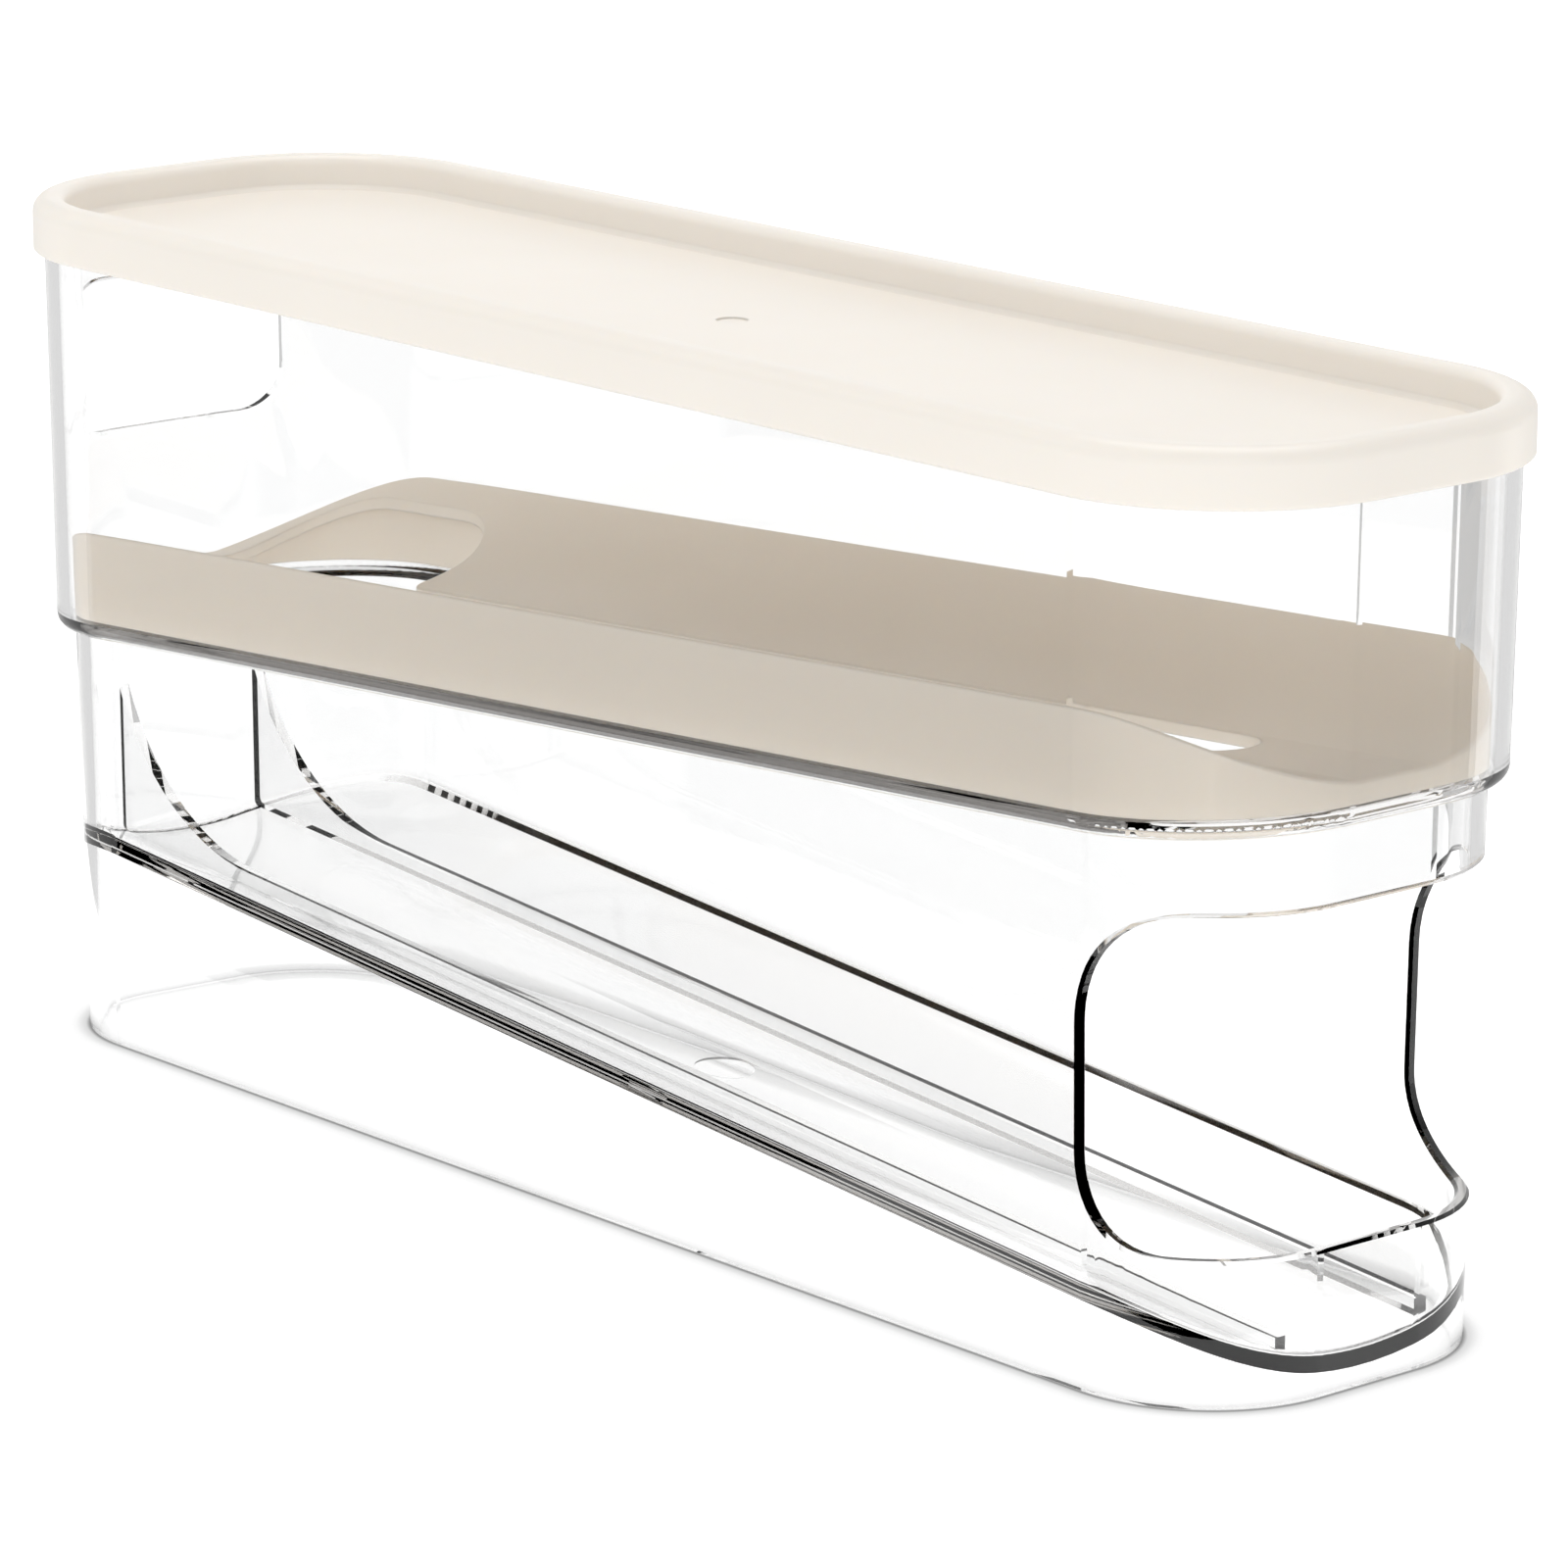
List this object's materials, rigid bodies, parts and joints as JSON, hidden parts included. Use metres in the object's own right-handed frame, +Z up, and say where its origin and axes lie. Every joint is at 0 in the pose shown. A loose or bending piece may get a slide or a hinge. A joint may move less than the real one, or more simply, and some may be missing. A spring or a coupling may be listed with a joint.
{
  "type": "egg dispenser",
  "caption": "Clear two-tier gravity dispenser for eggs: a shell with a sloping ramp, guide rails and a pick-up window, a lift-out slotted tray and a recessed lid.",
  "frame": {"origin": "middle of the bottom rim, on the surface it stands on", "axes": "+X along the length, towards the pick-up window; +Y across; +Z up"},
  "size_m": [0.3016, 0.0836, 0.1435],
  "materials": {
    "clear_body": "clear, polished",
    "ivory_tray": "ivory, satin",
    "ivory_lid": "ivory, satin"
  },
  "bodies": {
    "body": {"body": "clear_body"},
    "tray": {"egg_tray": "ivory_tray"},
    "lid": {"lid": "ivory_lid"}
  },
  "joints": [
    {"name": "tray_lift", "type": "slide", "parent": "body", "child": "tray", "axis": [0, 0, 1], "range_m": [0, 0.09]},
    {"name": "lid_lift", "type": "slide", "parent": "tray", "child": "lid", "axis": [0, 0, 1], "range_m": [0, 0.03]}
  ]
}
